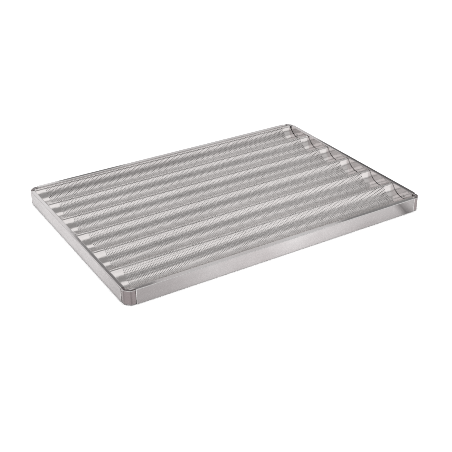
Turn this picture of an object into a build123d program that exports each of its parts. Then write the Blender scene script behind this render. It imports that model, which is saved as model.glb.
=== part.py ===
"""Framed baguette tray: a perforated steel sheet pressed into six round channels,
held in a frame of four rectangular-tube rails that plug onto four chamfered corner elbows.

Millimetres. X runs along the channels, Y across them, Z up.
The origin is the centre of the plane that the frame stands on.
"""
from build123d import *

import os
from math import asin, degrees, sqrt

# Whole tray
LENGTH = 660.0
WIDTH = 460.0
HEIGHT = 30.0

# Rails: rectangular tube, cut square short of each corner
RAIL_DEPTH = 8.0
RAIL_WALL = 1.0
RAIL_EDGE_RADIUS = 1.5
RAIL_SETBACK = 20.0

# Corner elbows: a smaller tube that slides inside the rails and turns two 45-degree bends
FIT_GAP = 0.1
ELBOW_WALL = 1.0
ELBOW_EDGE_RADIUS = 1.2
ELBOW_CHAMFER = 9.5
ELBOW_BEND_RADIUS = 6.5
TONGUE_END = 54.0

# Both tubes: the least radius inside an edge
LEAST_INNER_RADIUS = 0.3

# Blind rivets through the rail's inner wall and the elbow's inner wall
RIVET_SETBACK = 43.0
RIVET_HEIGHT = 14.0
RIVET_HOLE_RADIUS = 1.65
RIVET_SHANK_RADIUS = 1.6
RIVET_RIM_RADIUS = 3.0
RIVET_RIM_HEIGHT = 0.27
RIVET_SHOULDER_RADIUS = 2.1
RIVET_SHOULDER_HEIGHT = 0.72
RIVET_CROWN_HEIGHT = 0.9
RIVET_BULGE_RADIUS = 2.4
RIVET_BULGE_START = 0.6
RIVET_BULGE_STOP = 1.05
RIVET_BULGE_LENGTH = 1.5
MANDREL_RADIUS = 0.85
MANDREL_HOLE_RADIUS = 0.9
MANDREL_RECESS = 0.5
MANDREL_POINT_HEIGHT = 0.2
MANDREL_HEAD_RADIUS = 1.5
MANDREL_HEAD_RIM = 0.6
MANDREL_HEAD_LENGTH = 1.0
DRILL_START = 0.1
DRILL_OVERRUN = 0.9

# Channel sheet
CHANNELS = 6
SHEET_THICKNESS = 0.8
SHEET_TOP = 28.0
CHANNEL_DEPTH = 20.0
CHANNEL_PITCH = 73.2
CREST_RADIUS = 6.5
HEM_RADIUS = 1.5
HEM_BOTTOM = 20.0
SHEET_END_GAP = 1.2
SHEET_CORNER_GAP = 0.6

# Worked out from the above
INNER_WALL_X = LENGTH / 2 - RAIL_DEPTH
INNER_WALL_Y = WIDTH / 2 - RAIL_DEPTH
ELBOW_FACE = RAIL_WALL + FIT_GAP
ELBOW_DEPTH = RAIL_DEPTH - 2 * ELBOW_FACE
ELBOW_HEIGHT = HEIGHT - 2 * ELBOW_FACE
RIVET_GRIP = RAIL_WALL + FIT_GAP + ELBOW_WALL
CORNERS = {
    "front_left": (-1, -1),
    "front_right": (1, -1),
    "back_right": (1, 1),
    "back_left": (-1, 1),
}


def tube_section(plane, depth, height, wall, edge_radius):
    """Hollow rounded rectangle, depth along the plane's x and height along its y."""
    outer = RectangleRounded(depth, height, edge_radius)
    inner_radius = max(edge_radius - wall, LEAST_INNER_RADIUS)
    inner = RectangleRounded(depth - 2 * wall, height - 2 * wall, inner_radius)
    return plane * (outer - inner)


def rivet_axis(corner, along):
    """Plane at a rivet: origin on the rail's inner wall, z pointing out of the rail, into the tray.

    along is "long" for the rail beside a long side of the tray, or "short".
    """
    side_x, side_y = CORNERS[corner]
    if along == "long":
        origin = (side_x * (LENGTH / 2 - RIVET_SETBACK), side_y * INNER_WALL_Y, RIVET_HEIGHT)
        return Plane(origin=origin, x_dir=(1, 0, 0), z_dir=(0, -side_y, 0))
    origin = (side_x * INNER_WALL_X, side_y * (WIDTH / 2 - RIVET_SETBACK), RIVET_HEIGHT)
    return Plane(origin=origin, x_dir=(0, 1, 0), z_dir=(-side_x, 0, 0))


def drill(solid, corner, along):
    """Cut one rivet hole from the inner side, through the rail and elbow walls only."""
    depth = DRILL_START + RIVET_GRIP + DRILL_OVERRUN
    hole = Cylinder(RIVET_HOLE_RADIUS, depth, align=(Align.CENTER, Align.CENTER, Align.MAX))
    return solid - rivet_axis(corner, along) * Pos(0, 0, DRILL_START) * hole


def long_rail(side_y):
    """Rail along a long side of the tray, open at both ends."""
    run = LENGTH - 2 * RAIL_SETBACK
    centre = (-run / 2, side_y * (WIDTH / 2 - RAIL_DEPTH / 2), HEIGHT / 2)
    plane = Plane(origin=centre, x_dir=(0, 1, 0), z_dir=(1, 0, 0))
    rail = extrude(tube_section(plane, RAIL_DEPTH, HEIGHT, RAIL_WALL, RAIL_EDGE_RADIUS), run)
    for corner, (_, corner_y) in CORNERS.items():
        if corner_y == side_y:
            rail = drill(rail, corner, "long")
    return rail


def short_rail(side_x):
    """Rail along a short side of the tray, open at both ends."""
    run = WIDTH - 2 * RAIL_SETBACK
    centre = (side_x * (LENGTH / 2 - RAIL_DEPTH / 2), run / 2, HEIGHT / 2)
    plane = Plane(origin=centre, x_dir=(1, 0, 0), z_dir=(0, -1, 0))
    rail = extrude(tube_section(plane, RAIL_DEPTH, HEIGHT, RAIL_WALL, RAIL_EDGE_RADIUS), run)
    for corner, (corner_x, _) in CORNERS.items():
        if corner_x == side_x:
            rail = drill(rail, corner, "short")
    return rail


def corner_elbow(corner):
    """Bent tube that joins two rails: a tongue inside each and a flat chamfer between them."""
    side_x, side_y = CORNERS[corner]
    middle = ELBOW_FACE + ELBOW_DEPTH / 2
    # The centreline's chamfer is shorter than the outer face's, because it lies inside the bends.
    chamfer = ELBOW_CHAMFER - ELBOW_DEPTH * (1 - sqrt(0.5))

    def place(from_side_x, from_side_y):
        return (side_x * (LENGTH / 2 - from_side_x), side_y * (WIDTH / 2 - from_side_y), HEIGHT / 2)

    path = FilletPolyline(
        place(TONGUE_END, middle),
        place(middle + chamfer, middle),
        place(middle, middle + chamfer),
        place(middle, TONGUE_END),
        radius=ELBOW_BEND_RADIUS - ELBOW_DEPTH / 2,
    )
    plane = Plane(origin=path @ 0, x_dir=(0, 1, 0), z_dir=path % 0)
    section = tube_section(plane, ELBOW_DEPTH, ELBOW_HEIGHT, ELBOW_WALL, ELBOW_EDGE_RADIUS)
    elbow = sweep(section, path)
    elbow = drill(elbow, corner, "long")
    return drill(elbow, corner, "short")


def turned(points, corner, along):
    """Solid of revolution about a rivet's axis, from (radius, height) points."""
    outline = make_face(Polyline(*[(radius, 0, height) for radius, height in points], close=True))
    return rivet_axis(corner, along) * revolve(outline, Axis.Z, 360)


def rivet(corner, along):
    """Set blind rivet: low domed flange, shank through both walls, and a bulge behind them."""
    return turned(
        [
            (MANDREL_HOLE_RADIUS, RIVET_CROWN_HEIGHT),
            (RIVET_SHOULDER_RADIUS, RIVET_SHOULDER_HEIGHT),
            (RIVET_RIM_RADIUS, RIVET_RIM_HEIGHT),
            (RIVET_RIM_RADIUS, 0),
            (RIVET_SHANK_RADIUS, 0),
            (RIVET_SHANK_RADIUS, -RIVET_GRIP),
            (RIVET_BULGE_RADIUS, -RIVET_GRIP - RIVET_BULGE_START),
            (RIVET_BULGE_RADIUS, -RIVET_GRIP - RIVET_BULGE_STOP),
            (MANDREL_HEAD_RADIUS, -RIVET_GRIP - RIVET_BULGE_LENGTH),
            (MANDREL_HOLE_RADIUS, -RIVET_GRIP - RIVET_BULGE_LENGTH),
        ],
        corner,
        along,
    )


def mandrel(corner, along):
    """What stays of a blind rivet's mandrel: the snapped stem in the body and its head behind it."""
    snapped_end = RIVET_CROWN_HEIGHT - MANDREL_RECESS
    blind_end = -RIVET_GRIP - RIVET_BULGE_LENGTH
    return turned(
        [
            (0, snapped_end),
            (MANDREL_RADIUS, snapped_end - MANDREL_POINT_HEIGHT),
            (MANDREL_RADIUS, blind_end),
            (MANDREL_HEAD_RADIUS, blind_end),
            (MANDREL_HEAD_RADIUS, blind_end - MANDREL_HEAD_RIM),
            (0, blind_end - MANDREL_HEAD_LENGTH),
        ],
        corner,
        along,
    )


def sheet_outline(offset):
    """One face of the bent sheet as a chain of edges in the YZ plane, from hem to hem.

    offset is the distance above the sheet's middle surface.
    """
    middle_top = SHEET_TOP - SHEET_THICKNESS / 2
    half_pitch = CHANNEL_PITCH / 2
    reach = (half_pitch**2 + CHANNEL_DEPTH**2) / (2 * CHANNEL_DEPTH)
    trough_radius = reach - CREST_RADIUS
    slope = degrees(asin(half_pitch / reach))
    crest_z = middle_top - CREST_RADIUS
    trough_z = middle_top - CHANNEL_DEPTH + trough_radius
    outer_crest = CHANNELS * half_pitch
    hem_y = INNER_WALL_Y - SHEET_THICKNESS / 2
    hem_centre = hem_y - HEM_RADIUS
    hem_centre_z = middle_top - HEM_RADIUS

    edges = [
        Line((-hem_y - offset, HEM_BOTTOM), (-hem_y - offset, hem_centre_z)),
        CenterArc((-hem_centre, hem_centre_z), HEM_RADIUS + offset, 90, 90),
        Line((-hem_centre, middle_top + offset), (-outer_crest, middle_top + offset)),
        CenterArc((-outer_crest, crest_z), CREST_RADIUS + offset, 90 - slope, slope),
    ]
    for channel in range(CHANNELS):
        centre = -outer_crest + (channel + 0.5) * CHANNEL_PITCH
        edges.append(CenterArc((centre, trough_z), trough_radius - offset, 270 - slope, 2 * slope))
        if channel < CHANNELS - 1:
            crest = centre + half_pitch
            edges.append(CenterArc((crest, crest_z), CREST_RADIUS + offset, 90 - slope, 2 * slope))
    edges += [
        CenterArc((outer_crest, crest_z), CREST_RADIUS + offset, 90, slope),
        Line((outer_crest, middle_top + offset), (hem_centre, middle_top + offset)),
        CenterArc((hem_centre, hem_centre_z), HEM_RADIUS + offset, 0, 90),
        Line((hem_y + offset, hem_centre_z), (hem_y + offset, HEM_BOTTOM)),
    ]
    return edges


def channel_sheet():
    """Corrugated sheet, a hem down each long edge, and its corners cut off beside the elbows."""
    upper = SHEET_THICKNESS / 2
    hem_y = INNER_WALL_Y - SHEET_THICKNESS / 2
    caps = [
        Line((side * (hem_y - upper), HEM_BOTTOM), (side * (hem_y + upper), HEM_BOTTOM))
        for side in (-1, 1)
    ]
    outline = make_face(sheet_outline(upper) + sheet_outline(-upper) + caps)
    half_run = INNER_WALL_X - SHEET_END_GAP
    left_end = Plane(origin=(-half_run, 0, 0), x_dir=(0, 1, 0), z_dir=(1, 0, 0))
    sheet = extrude(left_end * outline, 2 * half_run)

    elbow_inside = 2 * ELBOW_FACE + ELBOW_CHAMFER + (ELBOW_DEPTH + SHEET_CORNER_GAP) * sqrt(2)
    for side_x, side_y in CORNERS.values():
        tip = (side_x * LENGTH / 2, side_y * WIDTH / 2)
        triangle = make_face(
            Polyline(
                tip,
                (tip[0] - side_x * elbow_inside, tip[1]),
                (tip[0], tip[1] - side_y * elbow_inside),
                close=True,
            )
        )
        sheet -= extrude(triangle, HEIGHT)
    return sheet


nodes = {
    "channel_sheet": channel_sheet(),
    "rail_front": long_rail(-1),
    "rail_back": long_rail(1),
    "rail_left": short_rail(-1),
    "rail_right": short_rail(1),
}
for corner in CORNERS:
    nodes[f"corner_elbow_{corner}"] = corner_elbow(corner)
    for along in ("long", "short"):
        nodes[f"rivet_{corner}_{along}"] = rivet(corner, along)
        nodes[f"mandrel_{corner}_{along}"] = mandrel(corner, along)

os.makedirs("parts", exist_ok=True)
for name, shape in nodes.items():
    export_step(shape, f"parts/{name}.step")
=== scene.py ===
"""Framed baguette tray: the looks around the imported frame.

Metres, Z up, in the CAD model's own frame. The rails, corner elbows, rivets and mandrels are the
CAD's meshes with their own materials. The plain CAD sheet is replaced by the perforated one, built
here hole by hole, in one piece for each channel so that no mesh is too heavy to keep.
"""
from math import asin, atan2, cos, pi, radians, sin, sqrt

import bpy
import numpy as np
from mathutils import Matrix, Vector


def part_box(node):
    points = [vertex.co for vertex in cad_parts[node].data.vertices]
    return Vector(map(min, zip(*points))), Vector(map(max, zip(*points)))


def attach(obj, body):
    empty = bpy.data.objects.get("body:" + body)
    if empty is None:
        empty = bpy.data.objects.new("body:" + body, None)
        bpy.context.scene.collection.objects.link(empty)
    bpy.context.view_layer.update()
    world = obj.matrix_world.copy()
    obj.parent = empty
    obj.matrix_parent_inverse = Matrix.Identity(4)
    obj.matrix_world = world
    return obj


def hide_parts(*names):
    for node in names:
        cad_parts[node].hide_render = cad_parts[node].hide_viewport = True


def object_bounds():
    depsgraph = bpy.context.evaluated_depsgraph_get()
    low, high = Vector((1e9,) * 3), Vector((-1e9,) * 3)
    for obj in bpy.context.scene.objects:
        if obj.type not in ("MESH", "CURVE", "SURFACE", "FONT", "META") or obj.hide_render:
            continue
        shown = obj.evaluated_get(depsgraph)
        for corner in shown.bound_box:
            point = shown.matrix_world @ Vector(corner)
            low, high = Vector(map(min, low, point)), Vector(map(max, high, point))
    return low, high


MM = 0.001

# Channel sheet
CHANNELS = 6
SHEET_THICKNESS = 0.8 * MM
CHANNEL_DEPTH = 20.0 * MM
CHANNEL_PITCH = 73.2 * MM
CREST_RADIUS = 6.5 * MM
HEM_RADIUS = 1.5 * MM
HEM_BOTTOM = 20.0 * MM
HEM_STEPS = 6

# The cut that clears a corner elbow: its outer face, then its tube and a gap, at 45 degrees
ELBOW_FACE = 1.1 * MM
ELBOW_CHAMFER = 9.5 * MM
ELBOW_DEPTH = 5.8 * MM
SHEET_CORNER_GAP = 0.6 * MM
CORNER_CUT = 2 * ELBOW_FACE + ELBOW_CHAMFER + (ELBOW_DEPTH + SHEET_CORNER_GAP) * sqrt(2)

# Staggered perforation: its close rows run across the channels
ROWS = 25
COLUMNS = 198
HOLE_RADIUS = 1.1 * MM
HOLE_SIDES = 6
# The punch draws the top edge of each hole down a little and rounds it: how far it dips, and how
# far the surface has turned where the flat ends and where the hole's wall starts
ROLLOVER = 0.06 * MM
ROLLOVER_START = radians(10)
ROLLOVER_STOP = radians(45)

# Painted shade, painted dark reflections and the rails' darker ends all share this dark tone
# Darkening, from 0 on unmarked steel to 1, where this much of the steel's dark tone is left
DARKENED_TONE = 0.25
# The rails' outer faces, darker toward both ends: how dark they are as far as this distance from
# the middle, how dark they get by the rail's end, and how narrowly it stops at the rounded edges
LONG_RAIL_MIDDLE = 50.0 * MM
LONG_RAIL_DEPTH = (0.42, 0.75)
SHORT_RAIL_MIDDLE = 120.0 * MM
SHORT_RAIL_DEPTH = (0.545, 0.71)
OUTER_FACE_BLEND = 1.0 * MM
# The right-hand rail's top is darker: fully along its front half, then fading out over this distance
TOP_DARKENING_DEPTH = 0.75
TOP_DARKENING_FADE = 120.0 * MM
# The elbows: painted shade beside the seam, and a painted dark reflection along each bend, which
# is as far from the corner's diagonal along a rail as the chamfer is long
SEAM_SHADE_WIDTH = 0.7 * MM
SEAM_SHADE_DEPTH = 0.84
ELBOW_BEND = ELBOW_CHAMFER
BEND_REFLECTION_WIDTH = 3.0 * MM
BEND_REFLECTION_DEPTH = 0.46
# A painted dark reflection near the front rail's right-hand end: where it is darkest at the tray's
# foot, how far it leans back as it rises, and how far it reaches on its sharp side and its soft side
DARK_REFLECTION_PLACE = 295.0 * MM
DARK_REFLECTION_SLANT = 0.9
DARK_REFLECTION_SHARP = 18.0 * MM
DARK_REFLECTION_SOFT = 24.0 * MM
DARK_REFLECTION_DEPTH = 0.27

# A painted highlight along a rail's cut end, a painted highlight on the level edges, and limits of
# tilt, 0 upright and 1 level: where a rounded edge starts, where it gives way to the level face, and
# what counts as a level face
CUT_END_HIGHLIGHT_WIDTH = 0.8 * MM
EDGE_HIGHLIGHT_SHARE = 0.8
EDGE_START = (0.15, 0.45)
EDGE_STOP = (0.8, 0.98)
LEVEL_FACE = (0.3, 0.6)

# How uneven the steel is: the tubes, the sheet among its holes, and its crinkled plain ends,
# with the distance over which the crinkling sets in
UNEVEN_TUBE = 0.05
UNEVEN_SHEET = 0.1
UNEVEN_ENDS = 0.55
CRINKLE_BLEND = 4.0 * MM

# Studio, in metres
FLOOR_HALF = 15.0
FLOOR_WHITE = (0.86, 0.86, 0.86, 1)
FLOOR_ROUGHNESS = 0.9
WASH_SPREAD = radians(20)

# Camera: its place and reach in metres, its angles in radians, its lens and sensor in millimetres
CAMERA_PLACE = (-0.80057, -1.32141, 0.81505)
CAMERA_REACH = 50.0
CAMERA_YAW = 0.548826
CAMERA_PITCH = 0.510075
CAMERA_ROLL = 0.006247
CAMERA_LENS = 67.714
SENSOR_WIDTH = 36.0

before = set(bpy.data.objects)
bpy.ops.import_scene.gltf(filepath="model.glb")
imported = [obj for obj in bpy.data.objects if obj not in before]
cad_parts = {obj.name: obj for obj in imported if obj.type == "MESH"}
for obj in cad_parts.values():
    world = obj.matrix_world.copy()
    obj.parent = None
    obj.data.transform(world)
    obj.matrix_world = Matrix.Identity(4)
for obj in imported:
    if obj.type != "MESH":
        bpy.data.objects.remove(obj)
cad_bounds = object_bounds()
sheet_high = Vector(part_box("channel_sheet")[1])
rail_end_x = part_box("rail_front")[1][0]
rail_end_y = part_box("rail_right")[1][1]


# ------------------------------------------------------------------ the sheet's cross-section


class Section:
    """The sheet's middle line across the tray: straight and round stretches, end to end.

    A point on it is given by s, the developed length from the left-hand outer crest.
    """

    def __init__(self):
        half_pitch = CHANNEL_PITCH / 2
        reach = (half_pitch**2 + CHANNEL_DEPTH**2) / (2 * CHANNEL_DEPTH)
        slope = asin(half_pitch / reach)
        half_crest = CREST_RADIUS * slope
        trough = 2 * (reach - CREST_RADIUS) * slope
        top = sheet_high.z - SHEET_THICKNESS / 2
        hem_y = sheet_high.y - SHEET_THICKNESS / 2

        self.flat = hem_y - HEM_RADIUS - CHANNELS * half_pitch
        self.bend = HEM_RADIUS * pi / 2
        self.drop = top - HEM_RADIUS - HEM_BOTTOM
        self.channel = trough + 2 * half_crest

        hem = [(self.drop, 0.0), (self.bend, -pi / 2), (self.flat, 0.0)]
        channel = [(half_crest, -slope), (trough, 2 * slope), (half_crest, -slope)]
        stretches = hem + CHANNELS * channel + hem[::-1]
        self.lengths = np.array([length for length, _ in stretches])
        self.turns = np.array([turn for _, turn in stretches])
        self.starts = np.concatenate([[0.0], np.cumsum(self.lengths)[:-1]])
        self.starts -= self.drop + self.bend + self.flat
        self.headings = pi / 2 + np.concatenate([[0.0], np.cumsum(self.turns)[:-1]])
        self.corners = [(-hem_y, HEM_BOTTOM)]
        for index in range(len(stretches)):
            end = self.follow(np.array([index]), self.lengths[index : index + 1])
            self.corners.append((end[0][0], end[1][0]))

    def follow(self, index, along):
        """y, z and heading at a distance along stretch number index."""
        corner = np.array(self.corners)[index]
        start = self.headings[index]
        bend = self.turns[index] / self.lengths[index]
        heading = start + bend * along
        radius = 1 / np.where(bend == 0, 1, bend)
        y = np.where(bend == 0, along * np.cos(start), radius * (np.sin(heading) - np.sin(start)))
        z = np.where(bend == 0, along * np.sin(start), radius * (np.cos(start) - np.cos(heading)))
        return corner[:, 0] + y, corner[:, 1] + z, heading

    def at(self, s):
        """y, z and heading of the middle line at each s."""
        index = np.clip(np.searchsorted(self.starts, s, side="right") - 1, 0, len(self.starts) - 1)
        return self.follow(index, s - self.starts[index])


section = Section()


# ------------------------------------------------------------------ the perforated sheet


class Blank:
    """One channel's sheet laid flat: points (x, s), faces between them, and its holes' rims."""

    def __init__(self):
        self.points = []
        self.radial = []
        self.faces = []
        self.found = {}

    def add(self, x, s, radial=None):
        self.points.append((x, s))
        self.radial.append(radial)
        return len(self.points) - 1

    def shared(self, key, x, s):
        """The point that goes by this key, which neighbouring faces share."""
        if key not in self.found:
            self.found[key] = self.add(x, s)
        return self.found[key]


row_pitch = section.channel / ROWS
cell_radius = row_pitch / sqrt(3)
column_pitch = 1.5 * cell_radius
first_column = -(COLUMNS - 1) / 2 * column_pitch
perforation_end = HOLE_RADIUS - first_column

# Lattice steps: a column is six across steps from the next, and a row four up steps
ACROSS = column_pitch / 6
UP = row_pitch / 4
CELL = ((4, 0), (2, 2), (-2, 2), (-4, 0), (-2, -2), (2, -2))
TOP = 4 * ROWS
HOLE_ANGLES = [2 * pi * corner / HOLE_SIDES for corner in range(HOLE_SIDES)]


def end_of_sheet(s):
    """x where the sheet stops at s: its square end, or the cut that clears the corner elbow."""
    y = abs(section.at(np.array([s]))[0][0])
    return min(sheet_high.x, cad_bounds[1][0] + cad_bounds[1][1] - CORNER_CUT - y)


def flat_channel(channel):
    """The flat blank of one channel, with its hem if it is the first or the last."""
    blank = Blank()
    first = channel == 0
    last = channel == CHANNELS - 1
    start = channel * section.channel

    def lattice(across, up):
        return blank.shared((across, up), first_column + across * ACROSS, start + up * UP)

    def end(side, s):
        return blank.shared((side, "end", round(s, 7)), side * end_of_sheet(s), s)

    def punched_cell(across, up):
        x = first_column + across * ACROSS
        s = start + up * UP
        corners = [lattice(across + i, up + k) for i, k in CELL]
        rim = [
            blank.add(x + HOLE_RADIUS * cos(a), s + HOLE_RADIUS * sin(a), (cos(a), sin(a)))
            for a in HOLE_ANGLES
        ]
        for m in range(HOLE_SIDES):
            n = (m + 1) % HOLE_SIDES
            blank.faces.append((corners[m], corners[n], rim[n], rim[m]))

    def plain_face(across, up, steps):
        blank.faces.append(tuple(lattice(across + i, up + k) for i, k in steps))

    for column in range(COLUMNS):
        across = 6 * column
        odd = column % 2
        for row in range(ROWS):
            up = 4 * row + 2 + 2 * odd
            if last and odd and row == ROWS - 1:
                plain_face(across, up, CELL[3:] + CELL[:1])
            elif (first and not odd and row == 0) or (last and row == ROWS - 1):
                plain_face(across, up, CELL)
            else:
                punched_cell(across, up)
        if first and odd:
            plain_face(across, 0, CELL[:4])

    plain_end(blank, lattice, end, -1, 0, TOP, start)
    plain_end(blank, lattice, end, 1, 0 if first else 2, TOP if last else TOP + 2, start)
    if first:
        hem(blank, lattice, end, -1, 0, start)
    if last:
        hem(blank, lattice, end, 1, TOP, start)
    return blank


def plain_end(blank, lattice, end, side, low, high, start):
    """The unpunched strip between the last column of holes and the end of the sheet."""
    column = 0 if side < 0 else 6 * (COLUMNS - 1)
    far = column + 6 * side
    crest = 2 if side < 0 else 0

    def face(*corners):
        blank.faces.append(corners if side < 0 else corners[::-1])

    def edge(up):
        return lattice(column + side * (4 if up % 4 == crest else 2), up)

    for up in range(low, high, 2):
        middle, top = lattice(far, up + 1), lattice(far, up + 2)
        face(lattice(far, up), edge(up), edge(up + 2), top, middle)
    for up in range(low, high):
        s, next_s = start + up * UP, start + (up + 1) * UP
        face(end(side, s), lattice(far, up), lattice(far, up + 1), end(side, next_s))


def hem(blank, lattice, end, side, up, start):
    """The flat beside an outer crest and the hem bent down from it, side -1 left and 1 right."""
    crest = start + up * UP
    levels = [crest, crest + side * section.flat]
    levels += [levels[1] + side * section.bend * step / HEM_STEPS for step in range(1, HEM_STEPS + 1)]
    levels.append(levels[-1] + side * section.drop)

    def face(*corners):
        blank.faces.append(corners if side < 0 else corners[::-1])

    last = 6 * (COLUMNS - 1)
    near = [end(-1, crest), lattice(-6, up)]
    for column in range(0, COLUMNS, 2):
        near += [lattice(6 * column - 2, up), lattice(6 * column + 2, up)]
    near += [lattice(last + 4, up), lattice(last + 6, up), end(1, crest)]
    face(end(-1, levels[1]), end(1, levels[1]), *reversed(near))
    for low, high in zip(levels[2:], levels[1:]):
        face(end(-1, low), end(1, low), end(1, high), end(-1, high))


def thicken(blank, name):
    """The blank bent to the section and given its thickness, with the section's exact normals."""
    flat = np.array(blank.points)
    y, z, heading = section.at(flat[:, 1])
    zero = np.zeros_like(y)
    along = np.stack([zero, np.cos(heading), np.sin(heading)], 1)
    normal = np.stack([zero, -np.sin(heading), np.cos(heading)], 1)
    middle = np.stack([flat[:, 0], y, z], 1)

    # The direction out of its hole, for each point on a rim
    on_rim = np.array([radial is not None for radial in blank.radial])
    radial = np.array([radial or (0, 0) for radial in blank.radial], float)
    outward = radial[:, :1] * np.array([1.0, 0.0, 0.0]) + radial[:, 1:] * along
    drawn = np.where(on_rim, ROLLOVER, 0)[:, None]
    tilt = np.where(on_rim, ROLLOVER_START, 0)[:, None]
    top_normal = np.cos(tilt) * normal - np.sin(tilt) * outward
    wall_normal = cos(ROLLOVER_STOP) * normal - sin(ROLLOVER_STOP) * outward

    top = middle + normal * (SHEET_THICKNESS / 2 - drawn)
    bottom = middle - normal * SHEET_THICKNESS / 2
    points = np.concatenate([top, bottom])
    count = len(flat)

    edges = {}
    for face in blank.faces:
        for a, b in zip(face, face[1:] + face[:1]):
            if (b, a) in edges:
                del edges[(b, a)]
            else:
                edges[(a, b)] = True

    faces = list(blank.faces)
    normals = [top_normal[corner] for face in blank.faces for corner in face]
    for face in blank.faces:
        faces.append(tuple(corner + count for corner in reversed(face)))
        normals += [-normal[corner] for corner in reversed(face)]
    walls = len(faces)
    for a, b in edges:
        faces.append((b, a, a + count, b + count))
        if on_rim[a] and on_rim[b]:
            normals += [wall_normal[b], wall_normal[a], -outward[a], -outward[b]]
        else:
            edge_normal = np.cross(points[a + count] - points[a], points[b] - points[a])
            normals += [edge_normal / np.linalg.norm(edge_normal)] * 4

    mesh = bpy.data.meshes.new(name)
    mesh.from_pydata(points.tolist(), [], faces)
    mesh.shade_smooth()
    mesh.normals_split_custom_set([tuple(n) for n in normals])
    slots = np.zeros(len(faces), np.int32)
    slots[walls:] = 1
    mesh.polygons.foreach_set("material_index", slots)
    piece = bpy.data.objects.new(name, mesh)
    bpy.context.scene.collection.objects.link(piece)
    return piece


# ------------------------------------------------------------------ materials

# How a noise is scaled: less along an axis draws it out along that axis, as brushing does
ALONG_X = (0.02, 1, 1)
ALONG_Y = (1, 0.02, 1)
EVEN = (1, 1, 1)

# The painted highlights' colour, and how the steel's layers set its tone and add to its roughness
HIGHLIGHT_COLOUR = (0.86, 0.85, 0.84)
TONE_SHARES = {"grain": 0.2, "streaks": 0.25, "smudges": 0.25, "clouds": 0.3}
ROUGHNESS_SHARES = {"spots": 0.08, "scratches": 0.05, "smudges": 0.03}


class Nodes:
    """A material's node tree, written one node a line. Input i2 is a node's third input."""

    def __init__(self, name):
        self.material = bpy.data.materials.new(name)
        self.material.use_nodes = True
        self.tree = self.material.node_tree
        self.shader = self.tree.nodes["Principled BSDF"]

    def add(self, kind, settings=None, **inputs):
        node = self.tree.nodes.new(kind)
        for key, value in (settings or {}).items():
            setattr(node, key, value)
        for key, value in inputs.items():
            self.set(node, key.replace("_", " "), value)
        return node

    def set(self, node, key, value):
        numbered = key[0] == "i" and key[1:].isdigit()
        socket = node.inputs[int(key[1:]) if numbered else key]
        if isinstance(value, bpy.types.NodeSocket):
            self.tree.links.new(value, socket)
        else:
            socket.default_value = value

    def object_coordinates(self, scale):
        place = self.add("ShaderNodeTexCoord").outputs["Object"]
        return self.add("ShaderNodeMapping", Vector=place, Scale=scale).outputs["Vector"]

    def noise(self, scale, detail, roughness, stretch=EVEN):
        vector = self.object_coordinates(stretch)
        settings = {"Scale": scale, "Detail": detail, "Roughness": roughness}
        return self.add("ShaderNodeTexNoise", Vector=vector, **settings).outputs["Fac"]

    def between(self, value, low, high, out_low=0.0, out_high=1.0):
        """value, which runs from low to high, brought to run from out_low to out_high."""
        node = self.add("ShaderNodeMapRange", i0=value, i1=low, i2=high, i3=out_low, i4=out_high)
        return node.outputs[0]

    def mix(self, factor, a, b):
        node = self.add("ShaderNodeMix", {"data_type": "RGBA"})
        for socket, value in ((0, factor), (6, a), (7, b)):
            self.set(node, f"i{socket}", value)
        return node.outputs[2]

    def place(self):
        """x, y and z of a point."""
        split = self.add("ShaderNodeSeparateXYZ", Vector=self.object_coordinates(EVEN))
        return [split.outputs[axis] for axis in "XYZ"]

    def distance(self, axis):
        """How far a point is from the middle of the tray along X or Y."""
        return self.maths("ABSOLUTE", self.place()["XY".index(axis)], 0.0)

    def tilt(self):
        """0 on upright faces and 1 on level ones."""
        normal = self.add("ShaderNodeTexCoord").outputs["Normal"]
        split = self.add("ShaderNodeSeparateXYZ", Vector=normal)
        return self.maths("ABSOLUTE", split.outputs["Z"], 0.0)

    def level_edges(self):
        """1 on the rounded edges that run level, and 0 on upright and level faces."""
        tilt = self.tilt()
        rounded = self.between(tilt, *EDGE_START)
        not_level = self.between(tilt, *EDGE_STOP, 1.0, 0.0)
        return self.maths("MULTIPLY", rounded, not_level)

    def maths(self, operation, a, b):
        return self.add("ShaderNodeMath", {"operation": operation}, i0=a, i1=b).outputs[0]

    def add_shares(self, total, layers, shares):
        """total and a share of each layer that shares names."""
        for layer, share in shares.items():
            total = self.maths("ADD", total, self.maths("MULTIPLY", layers[layer], share))
        return total


def outer_face(nodes, axis, face):
    """1 on the tray's outer face across an axis, and 0 on a rail's top and inner wall."""
    return nodes.between(nodes.distance(axis), face - OUTER_FACE_BLEND, face)


def short_rail_darkening(nodes):
    """Darker toward the ends of the outer face, and along the front half of the right-hand rail's
    top.
    """
    ends = nodes.between(nodes.distance("Y"), SHORT_RAIL_MIDDLE, rail_end_y, *SHORT_RAIL_DEPTH)
    side = nodes.maths("MULTIPLY", ends, outer_face(nodes, "X", cad_bounds[1][0]))
    x, y, _ = nodes.place()
    right = nodes.maths("GREATER_THAN", x, 0.0)
    front = nodes.between(y, 0.0, TOP_DARKENING_FADE, TOP_DARKENING_DEPTH, 0.0)
    top = nodes.between(nodes.tilt(), *LEVEL_FACE)
    top_darkening = nodes.maths("MULTIPLY", nodes.maths("MULTIPLY", right, front), top)
    return nodes.maths("MAXIMUM", side, top_darkening)


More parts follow.
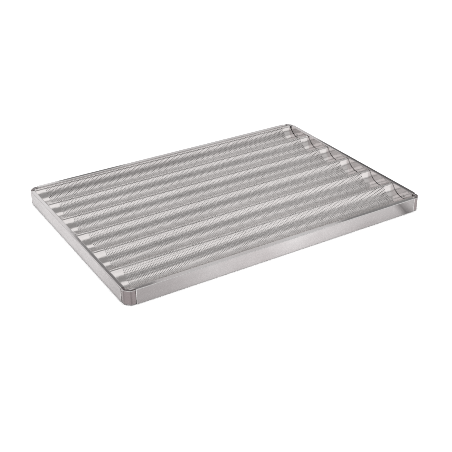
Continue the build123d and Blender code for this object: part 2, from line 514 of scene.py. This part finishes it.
def long_rail_darkening(nodes):
    """Darker toward both ends of the outer face, and a slanting painted dark reflection at the
    front's right.
    """
    x, y, z = nodes.place()
    # A painted dark reflection slanting across the front rail's outer face near its right-hand end
    slanted = nodes.maths("ADD", x, nodes.maths("MULTIPLY", z, DARK_REFLECTION_SLANT))
    rise = nodes.between(slanted, DARK_REFLECTION_PLACE - DARK_REFLECTION_SHARP, DARK_REFLECTION_PLACE, 0.0, DARK_REFLECTION_DEPTH)
    fall = nodes.between(slanted, DARK_REFLECTION_PLACE, DARK_REFLECTION_PLACE + DARK_REFLECTION_SOFT, DARK_REFLECTION_DEPTH, 0.0)
    front = nodes.maths("LESS_THAN", y, 0.0)
    dark_reflection = nodes.maths("MULTIPLY", nodes.maths("MINIMUM", rise, fall), front)
    ends = nodes.between(nodes.distance("X"), LONG_RAIL_MIDDLE, rail_end_x, *LONG_RAIL_DEPTH)
    darkened = nodes.maths("MINIMUM", nodes.maths("ADD", ends, dark_reflection), 1.0)
    return nodes.maths("MULTIPLY", darkened, outer_face(nodes, "Y", cad_bounds[1][1]))


def edge_highlights(nodes):
    """Painted highlight along the rounded edges that run level."""
    return nodes.maths("MULTIPLY", nodes.level_edges(), EDGE_HIGHLIGHT_SHARE)


def cut_end_highlight(nodes, axis, rail_end):
    """Painted highlight along the end where a rail that runs along an axis was cut off."""
    return nodes.between(nodes.distance(axis), rail_end - CUT_END_HIGHLIGHT_WIDTH, rail_end - CUT_END_HIGHLIGHT_WIDTH / 2)


# Painted highlights on a long rail: along its cut ends and its level edges
def long_rail_highlights(nodes):
    return nodes.maths("MAXIMUM", cut_end_highlight(nodes, "X", rail_end_x), edge_highlights(nodes))


# Painted highlight along a short rail's cut ends
def short_rail_highlights(nodes):
    return cut_end_highlight(nodes, "Y", rail_end_y)


def elbow_shade_and_reflection(nodes):
    """Painted shade beside the seam between an elbow and a rail's cut end, and painted dark
    reflections on its two bends.
    """
    marks = []
    # Painted shade beside the seam where an elbow meets a rail's cut end
    for axis, rail_end in (("X", rail_end_x), ("Y", rail_end_y)):
        unmarked = rail_end + 2 * SEAM_SHADE_WIDTH
        seam_shade = nodes.between(nodes.distance(axis), rail_end + SEAM_SHADE_WIDTH, unmarked, SEAM_SHADE_DEPTH, 0.0)
        marks.append(seam_shade)
    # A painted dark reflection along each of the elbow's two bends
    difference = nodes.maths("SUBTRACT", nodes.distance("X"), nodes.distance("Y"))
    off_diagonal = nodes.maths("SUBTRACT", difference, rail_end_x - rail_end_y)
    across = nodes.maths("ABSOLUTE", off_diagonal, 0.0)
    off_bend = nodes.maths("ABSOLUTE", nodes.maths("SUBTRACT", across, ELBOW_BEND), 0.0)
    marks.append(nodes.between(off_bend, 0.0, BEND_REFLECTION_WIDTH, BEND_REFLECTION_DEPTH, 0.0))
    return nodes.maths("MAXIMUM", nodes.maths("MAXIMUM", marks[0], marks[1]), marks[2])


def crinkled_ends(nodes):
    """How uneven the sheet is: slightly, and more so on the plain ends beside the perforation."""
    full = perforation_end + CRINKLE_BLEND
    return nodes.between(nodes.distance("X"), perforation_end, full, UNEVEN_SHEET, UNEVEN_ENDS)


def steel(name, light, dark, roughness, stretch, darkening=None, highlights=None, waviness=None):
    """Bare stainless steel: fine grain, faint streaks, soft smudges, dull spots and scratches.

    stretch draws the grain out along one axis. The next three arguments each build a mask: of where
    it is darker, of where it gets a painted highlight and of how uneven it is.
    """
    nodes = Nodes(name)
    grain = nodes.noise(scale=900.0, detail=4.0, roughness=0.6, stretch=stretch)
    streaks = nodes.noise(scale=120.0, detail=3.0, roughness=0.6, stretch=stretch)
    smudges = nodes.noise(scale=14.0, detail=4.0, roughness=0.55)
    clouds = nodes.noise(scale=4.5, detail=2.0, roughness=0.5)
    spots = nodes.noise(scale=160.0, detail=2.0, roughness=0.5)
    scratches = nodes.noise(scale=420.0, detail=1.0, roughness=0.5, stretch=stretch)
    waves = nodes.noise(scale=55.0, detail=2.0, roughness=0.45)
    # The patchy layers are 0 where their noise is under the first limit and 1 over the second
    layers = {
        "grain": grain,
        "streaks": streaks,
        "smudges": nodes.between(smudges, 0.35, 0.68),
        "clouds": nodes.between(clouds, 0.38, 0.62),
        "spots": nodes.between(spots, 0.62, 0.75),
        "scratches": nodes.between(scratches, 0.64, 0.70),
    }

    tone = nodes.add_shares(0.0, layers, TONE_SHARES)
    under = (*dark, 1)
    # The darkening mask mixes in the darker tone: painted shade, painted dark reflections and darker
    # rail ends
    if darkening:
        unmarked = nodes.maths("SUBTRACT", 1.0, darkening(nodes))
        tone = nodes.maths("MULTIPLY", tone, unmarked)
        under = nodes.mix(unmarked, (*[DARKENED_TONE * channel for channel in dark], 1), under)
    colour = nodes.mix(tone, under, (*light, 1))
    # Painted highlights, light as polished steel, on cut ends and level edges
    if highlights:
        colour = nodes.mix(highlights(nodes), colour, (*HIGHLIGHT_COLOUR, 1))
    nodes.set(nodes.shader, "Base Color", colour)
    nodes.set(nodes.shader, "Metallic", 1.0)

    rough = nodes.between(grain, 0.3, 0.7, *roughness)
    nodes.set(nodes.shader, "Roughness", nodes.add_shares(rough, layers, ROUGHNESS_SHARES))

    uneven = waviness(nodes) if waviness else UNEVEN_TUBE
    dented = nodes.add("ShaderNodeBump", Height=waves, Strength=uneven, Distance=1.0 * MM)
    relief = nodes.add("ShaderNodeBump", Height=grain, Strength=0.02, Distance=0.4 * MM)
    nodes.set(relief, "Normal", dented.outputs[0])
    nodes.set(nodes.shader, "Normal", relief.outputs[0])
    return nodes.material


def rail_steel(name, stretch, darkening, highlights):
    return steel(
        name,
        light=(0.80, 0.79, 0.79),
        dark=(0.60, 0.555, 0.555),
        roughness=(0.04, 0.09),
        stretch=stretch,
        darkening=darkening,
        highlights=highlights,
    )


sheet_steel = steel(
    "sheet_steel",
    light=(0.82, 0.785, 0.775),
    dark=(0.68, 0.65, 0.64),
    roughness=(0.13, 0.20),
    stretch=ALONG_X,
    waviness=crinkled_ends,
)
# The hole walls are darker than the sheet: painted shade in the holes, on a rougher punched surface
punched_edge = steel(
    "punched_edge",
    light=(0.60, 0.58, 0.57),
    dark=(0.44, 0.42, 0.41),
    roughness=(0.3, 0.45),
    stretch=EVEN,
)
rail_steel_x = rail_steel("rail_steel_x", ALONG_X, long_rail_darkening, long_rail_highlights)
rail_steel_y = rail_steel("rail_steel_y", ALONG_Y, short_rail_darkening, short_rail_highlights)
# The elbows' steel is given a much darker tone than the rails: a painted dark reflection on the
# chamfers
elbow_steel = steel(
    "elbow_steel",
    light=(0.32, 0.28, 0.282),
    dark=(0.22, 0.19, 0.192),
    roughness=(0.2, 0.3),
    stretch=EVEN,
    darkening=elbow_shade_and_reflection,
    highlights=edge_highlights,
)
rivet_steel = steel(
    "rivet_steel",
    light=(0.7, 0.69, 0.68),
    dark=(0.5, 0.49, 0.48),
    roughness=(0.2, 0.3),
    stretch=EVEN,
)
mandrel_steel = steel(
    "mandrel_steel",
    light=(0.14, 0.13, 0.13),
    dark=(0.06, 0.055, 0.055),
    roughness=(0.5, 0.65),
    stretch=EVEN,
)


def dress_cad_nodes():
    """Gives every CAD node that shows its steel."""
    finishes = {
        "rail_front": rail_steel_x,
        "rail_back": rail_steel_x,
        "rail_left": rail_steel_y,
        "rail_right": rail_steel_y,
        "corner_elbow": elbow_steel,
        "rivet": rivet_steel,
        "mandrel": mandrel_steel,
    }
    for name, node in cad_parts.items():
        for start, material in finishes.items():
            if name.startswith(start):
                for material_slot in node.material_slots:
                    material_slot.link = "OBJECT"
                    material_slot.material = material


# ------------------------------------------------------------------ building it


for channel in range(CHANNELS):
    piece = thicken(flat_channel(channel), f"channel_sheet_{channel + 1}")
    piece.data.materials.append(sheet_steel)
    piece.data.materials.append(punched_edge)
    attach(piece, "root")
    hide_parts("channel_sheet")

dress_cad_nodes()


# ------------------------------------------------------------------ stage, light and camera


def make_floor():
    mesh = bpy.data.meshes.new("floor")
    turns = ((-1, -1), (1, -1), (1, 1), (-1, 1))
    mesh.from_pydata([(x * FLOOR_HALF, y * FLOOR_HALF, 0) for x, y in turns], [], [(0, 1, 2, 3)])
    floor = bpy.data.objects.new("floor", mesh)
    bpy.context.scene.collection.objects.link(floor)
    nodes = Nodes("floor_white")
    nodes.set(nodes.shader, "Base Color", FLOOR_WHITE)
    nodes.set(nodes.shader, "Roughness", FLOOR_ROUGHNESS)
    mesh.materials.append(nodes.material)


def make_world(strength):
    world = bpy.data.worlds.new("studio")
    bpy.context.scene.world = world
    world.use_nodes = True
    background = world.node_tree.nodes["Background"]
    background.inputs["Color"].default_value = (1, 1, 1, 1)
    background.inputs["Strength"].default_value = strength


def add_lamp(name, light):
    lamp = bpy.data.objects.new(name, light)
    lamp.visible_camera = False
    bpy.context.scene.collection.objects.link(lamp)
    return lamp


def softbox(name, place, size, radiance, side_wall=False):
    """A soft lamp, turned about X to face the tray, or about Y if it is on a side wall."""
    light = bpy.data.lights.new(name, "AREA")
    light.shape = "RECTANGLE"
    light.size, light.size_y = size
    light.energy = pi * size[0] * size[1] * radiance
    lamp = add_lamp(name, light)
    lamp.location = place
    if side_wall:
        lamp.rotation_euler = (0, atan2(place[0], place[2]), 0)
    else:
        lamp.rotation_euler = (atan2(-place[1], place[2]), 0, 0)


def floor_wash(strength):
    """Even light from straight above for the floor alone, so that the steel doesn't mirror it."""
    light = bpy.data.lights.new("floor_wash", "SUN")
    light.energy = strength
    light.angle = WASH_SPREAD
    add_lamp("floor_wash", light).visible_glossy = False


def make_camera():
    camera = bpy.data.objects.new("camera", bpy.data.cameras.new("camera"))
    camera.data.lens = CAMERA_LENS
    camera.data.sensor_width = SENSOR_WIDTH
    camera.data.clip_end = CAMERA_REACH
    level = cos(CAMERA_PITCH)
    ahead = Vector((level * sin(CAMERA_YAW), level * cos(CAMERA_YAW), -sin(CAMERA_PITCH)))
    right = Vector((cos(CAMERA_YAW), -sin(CAMERA_YAW), 0))
    down = ahead.cross(right)
    level_right = cos(CAMERA_ROLL) * right + sin(CAMERA_ROLL) * down
    level_down = ahead.cross(level_right)
    turn = Matrix((level_right, -level_down, -ahead)).transposed()
    camera.matrix_world = Matrix.Translation(CAMERA_PLACE) @ turn.to_4x4()
    bpy.context.scene.collection.objects.link(camera)
    bpy.context.scene.camera = camera


# The channels and rails mirror each softbox, given by place, size and radiance, as a light band,
# and the gaps between them as dark ones
make_floor()
make_world(0.28)
softbox("back_left", (-1.14, 3.0, 1.6), (3.72, 2.8), 0.65)
softbox("back_middle", (1.87, 3.0, 1.6), (1.45, 2.8), 0.45)
softbox("back_right", (4.5, 3.0, 1.6), (2.1, 2.8), 0.5)
softbox("ceiling", (0, -0.3, 3.2), (8.0, 6.0), 0.06)
softbox("back_strip", (0, 1.08, 2.9), (5.0, 1.35), 0.72)
softbox("right_overhead", (3.1, -0.45, 3.0), (2.2, 1.4), 0.3)
softbox("front_softbox", (0, -1.78, 1.61), (8.0, 1.5), 0.74)
softbox("left_overhead", (-2.4, -0.5, 3.0), (1.6, 1.6), 0.45)
softbox("left_wall", (-3.6, 0.3, 1.6), (2.2, 4.4), 0.35, side_wall=True)
floor_wash(2.7)
make_camera()

# White stays white, and the fine perforation isn't smoothed away
scene = bpy.context.scene
scene.view_settings.view_transform = "Standard"
scene.cycles.filter_width = 0.9
scene.cycles.use_denoising = False
